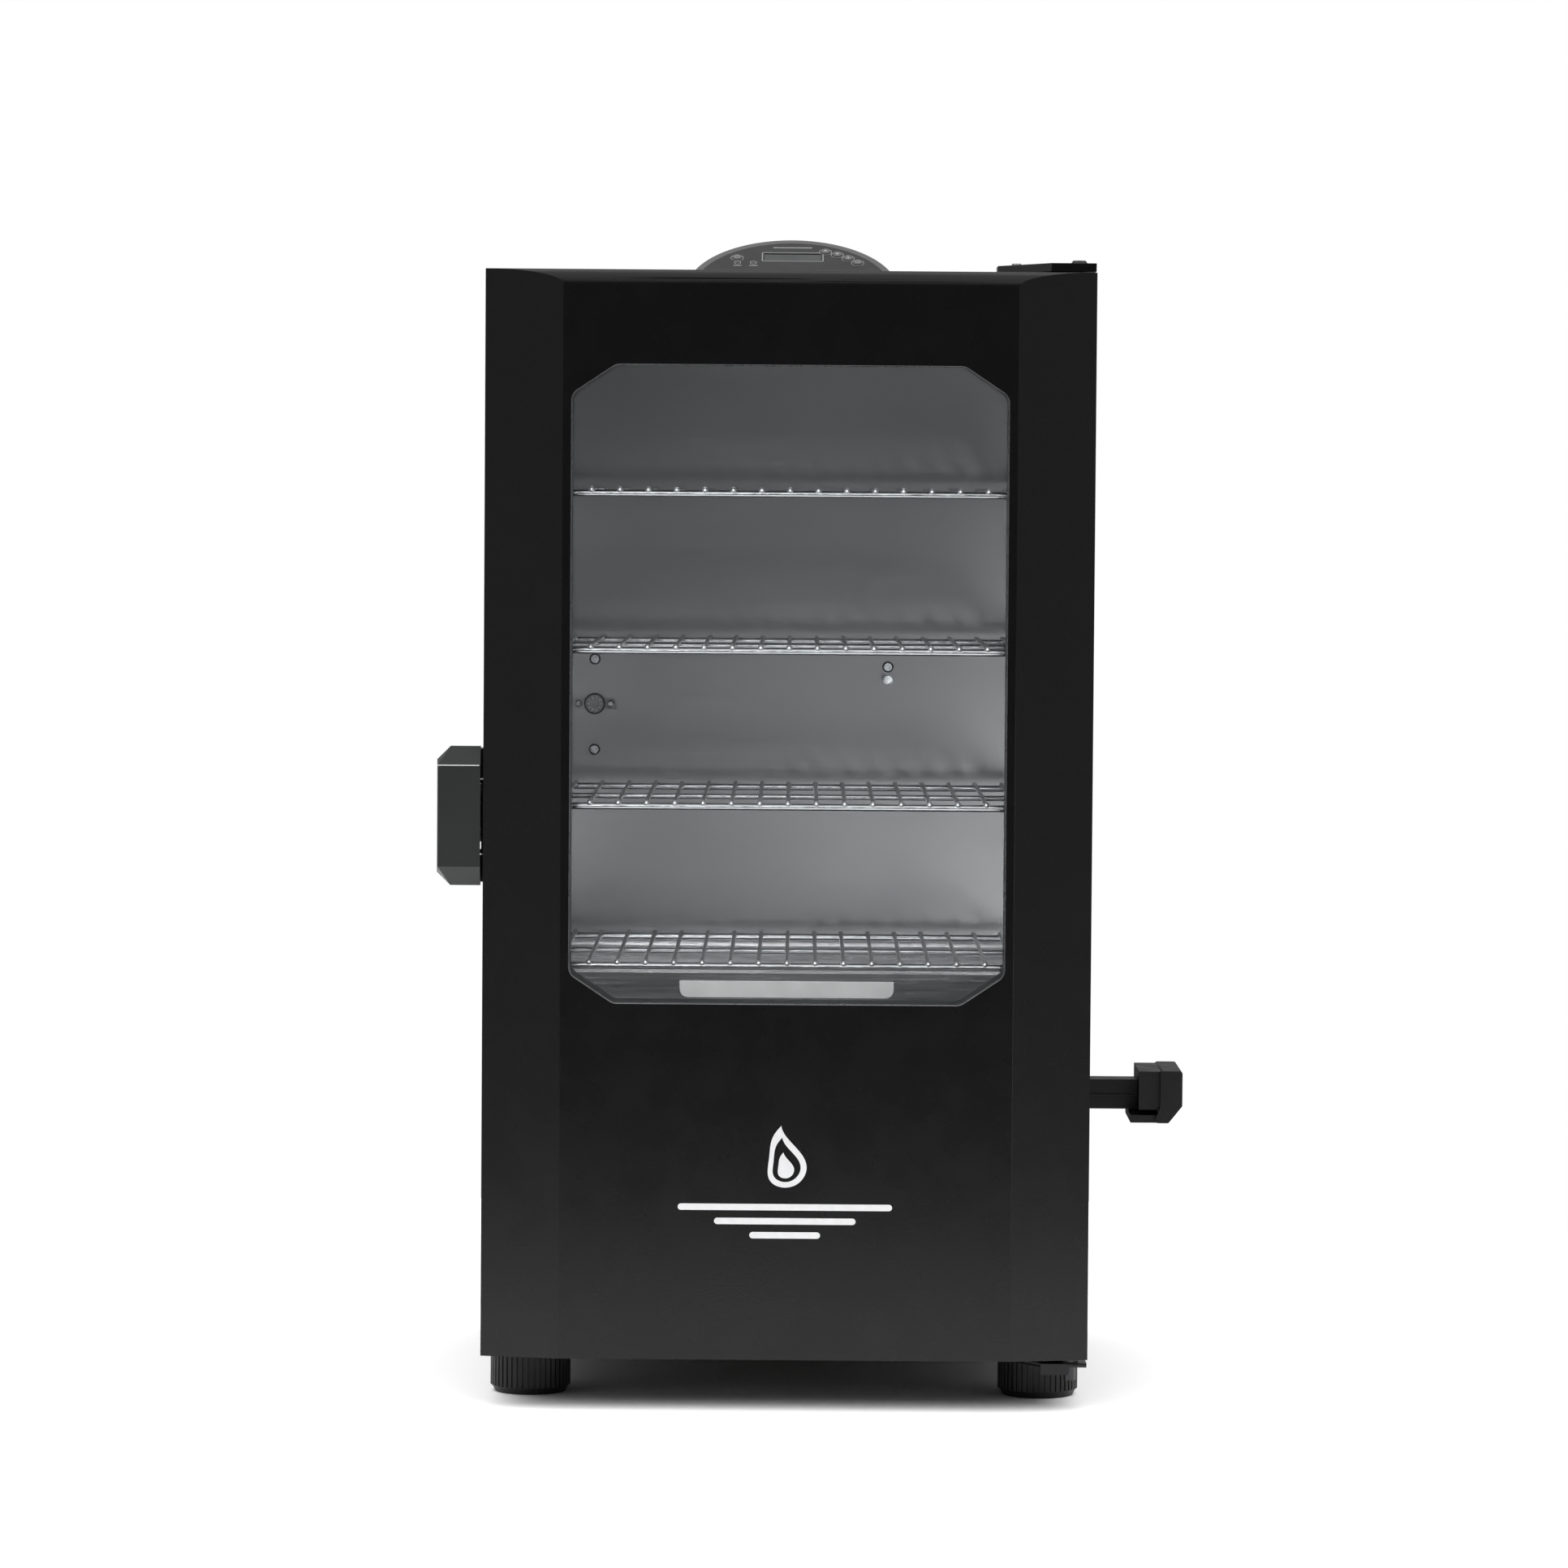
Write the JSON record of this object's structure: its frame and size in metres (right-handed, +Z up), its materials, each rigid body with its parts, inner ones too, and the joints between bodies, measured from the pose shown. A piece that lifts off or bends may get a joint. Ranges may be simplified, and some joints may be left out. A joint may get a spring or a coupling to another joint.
{
  "type": "electric cabinet smoker",
  "caption": "Insulated black steel smoker cabinet with a glass door, chrome wire racks, water pan, side chip loader, damper and sloped top controller.",
  "frame": {"origin": "on the floor below the middle of the whole object's box", "axes": "+Z up, the door faces -Y, +X to the right as seen from in front of the door"},
  "size_m": [0.5376, 0.505, 0.8455],
  "materials": {
    "black_coat": "satin",
    "latch_coat": "satin",
    "stainless": "satin",
    "pan_steel": "satin",
    "chrome_wire": "polished",
    "zinc": "satin",
    "element_metal": "matte",
    "mineral_wool": "matte",
    "window_glass": "gloss",
    "black_plastic": "matte",
    "housing_plastic": "satin",
    "face_film": "satin",
    "key_plastic": "satin",
    "display_lens": "gloss",
    "board_green": "satin",
    "seal_rubber": "matte",
    "bush_brass": "satin"
  },
  "bodies": {
    "cabinet": {"outer_shell": "black_coat", "back_panel": "black_coat", "base_pan": "black_coat", "front_frame": "black_coat", "inner_liner": "stainless", "insulation": "mineral_wool", "rack_supports": "stainless", "heating_element": "element_metal", "chip_housing": "stainless", "loader_guide": "stainless", "drain_tube": "stainless", "limit_thermostat": "stainless", "temp_probe": "zinc", "cabinet_screws": "zinc", "controller_housing": "housing_plastic", "controller_face": "face_film", "controller_board": "board_green", "controller_display": "display_lens", "hinge_bracket_top": "black_coat", "hinge_bracket_bottom": "black_coat", "hinge_pins": "zinc", "latch_strike": "zinc", "foot_studs": "zinc", "damper_base": "black_coat", "grease_rails": "black_coat", "rear_handle": "black_plastic", "wiring_cover": "black_coat", "cord_gland": "black_plastic"},
    "door": {"door_skin": "black_coat", "door_liner": "stainless", "door_insulation": "mineral_wool", "window_outer": "window_glass", "window_inner": "window_glass", "window_spacer": "black_coat", "door_seal": "seal_rubber", "door_bushes": "bush_brass", "latch_bracket": "black_coat", "latch_pin": "zinc"},
    "latch": {"latch_lever": "latch_coat"},
    "key_power": {"button_power": "key_plastic"},
    "key_1": {"button_1": "key_plastic"},
    "key_2": {"button_2": "key_plastic"},
    "key_3": {"button_3": "key_plastic"},
    "key_4": {"button_4": "key_plastic"},
    "damper": {"damper_disc": "black_coat"},
    "foot_fl": {"foot_front_left": "black_plastic"},
    "foot_fr": {"foot_front_right": "black_plastic"},
    "foot_rl": {"foot_rear_left": "black_plastic"},
    "foot_rr": {"foot_rear_right": "black_plastic"},
    "grease_drawer": {"grease_tray": "black_coat"},
    "shelf_1": {"rack_1": "chrome_wire"},
    "shelf_2": {"rack_2": "chrome_wire"},
    "shelf_3": {"rack_3": "chrome_wire"},
    "shelf_4": {"rack_4": "chrome_wire"},
    "water_bowl": {"water_pan": "pan_steel"},
    "drip_catcher": {"drip_pan": "stainless"},
    "chip_drawer": {"chip_tray": "stainless"},
    "loader_sleeve": {"loader_collar": "black_plastic"},
    "loader": {"loader_scoop": "black_plastic", "loader_handle": "black_plastic"}
  },
  "joints": [
    {"name": "door_hinge", "type": "hinge", "parent": "cabinet", "child": "door", "pos_m": [0.18425, -0.222, 0.423], "axis": [0, 0, 1], "range_deg": [0, 150]},
    {"name": "latch_pivot", "type": "hinge", "parent": "door", "child": "latch", "pos_m": [-0.24875, -0.2365, 0.4215], "axis": [0, 0, 1], "range_deg": [0, 35], "stiffness_Nm_per_rad": 0.4},
    {"name": "key_power_press", "type": "slide", "parent": "cabinet", "child": "key_power", "axis": [0, 0.5, -0.866], "range_m": [0, 0.001], "stiffness_N_per_m": 400},
    {"name": "key_1_press", "type": "slide", "parent": "cabinet", "child": "key_1", "axis": [0, 0.5, -0.866], "range_m": [0, 0.001], "stiffness_N_per_m": 400},
    {"name": "key_2_press", "type": "slide", "parent": "cabinet", "child": "key_2", "axis": [0, 0.5, -0.866], "range_m": [0, 0.001], "stiffness_N_per_m": 400},
    {"name": "key_3_press", "type": "slide", "parent": "cabinet", "child": "key_3", "axis": [0, 0.5, -0.866], "range_m": [0, 0.001], "stiffness_N_per_m": 400},
    {"name": "key_4_press", "type": "slide", "parent": "cabinet", "child": "key_4", "axis": [0, 0.5, -0.866], "range_m": [0, 0.001], "stiffness_N_per_m": 400},
    {"name": "damper_turn", "type": "hinge", "parent": "cabinet", "child": "damper", "pos_m": [-0.14975, 0.0535, 0.806], "axis": [0, 0, 1], "range_deg": [0, 90]},
    {"name": "foot_fl_turn", "type": "hinge", "parent": "cabinet", "child": "foot_fl", "pos_m": [-0.20375, -0.1565, 0.02], "axis": [0, 0, 1], "range_deg": [-180, 180]},
    {"name": "foot_fr_turn", "type": "hinge", "parent": "cabinet", "child": "foot_fr", "pos_m": [0.16425, -0.1565, 0.02], "axis": [0, 0, 1], "range_deg": [-180, 180]},
    {"name": "foot_rl_turn", "type": "hinge", "parent": "cabinet", "child": "foot_rl", "pos_m": [-0.20375, 0.1485, 0.02], "axis": [0, 0, 1], "range_deg": [-180, 180]},
    {"name": "foot_rr_turn", "type": "hinge", "parent": "cabinet", "child": "foot_rr", "pos_m": [0.16425, 0.1485, 0.02], "axis": [0, 0, 1], "range_deg": [-180, 180]},
    {"name": "grease_slide", "type": "slide", "parent": "cabinet", "child": "grease_drawer", "axis": [0, 1, 0], "range_m": [0, 0.15]},
    {"name": "shelf_1_slide", "type": "slide", "parent": "cabinet", "child": "shelf_1", "axis": [0, -1, 0], "range_m": [0, 0.02]},
    {"name": "shelf_2_slide", "type": "slide", "parent": "cabinet", "child": "shelf_2", "axis": [0, -1, 0], "range_m": [0, 0.02]},
    {"name": "shelf_3_slide", "type": "slide", "parent": "cabinet", "child": "shelf_3", "axis": [0, -1, 0], "range_m": [0, 0.02]},
    {"name": "shelf_4_slide", "type": "slide", "parent": "cabinet", "child": "shelf_4", "axis": [0, -1, 0], "range_m": [0, 0.02]},
    {"name": "water_bowl_slide", "type": "slide", "parent": "cabinet", "child": "water_bowl", "axis": [0, -1, 0], "range_m": [0, 0.015]},
    {"name": "drip_catcher_slide", "type": "slide", "parent": "cabinet", "child": "drip_catcher", "axis": [0, -1, 0], "range_m": [0, 0.025]},
    {"name": "chip_drawer_slide", "type": "slide", "parent": "cabinet", "child": "chip_drawer", "axis": [0, -1, 0], "range_m": [0, 0.03]},
    {"name": "loader_slide", "type": "slide", "parent": "cabinet", "child": "loader_sleeve", "axis": [1, 0, 0], "range_m": [0, 0.2]},
    {"name": "loader_turn", "type": "hinge", "parent": "loader_sleeve", "child": "loader", "pos_m": [0.19325, -0.1, 0.214], "axis": [1, 0, 0], "range_deg": [0, 180]}
  ]
}
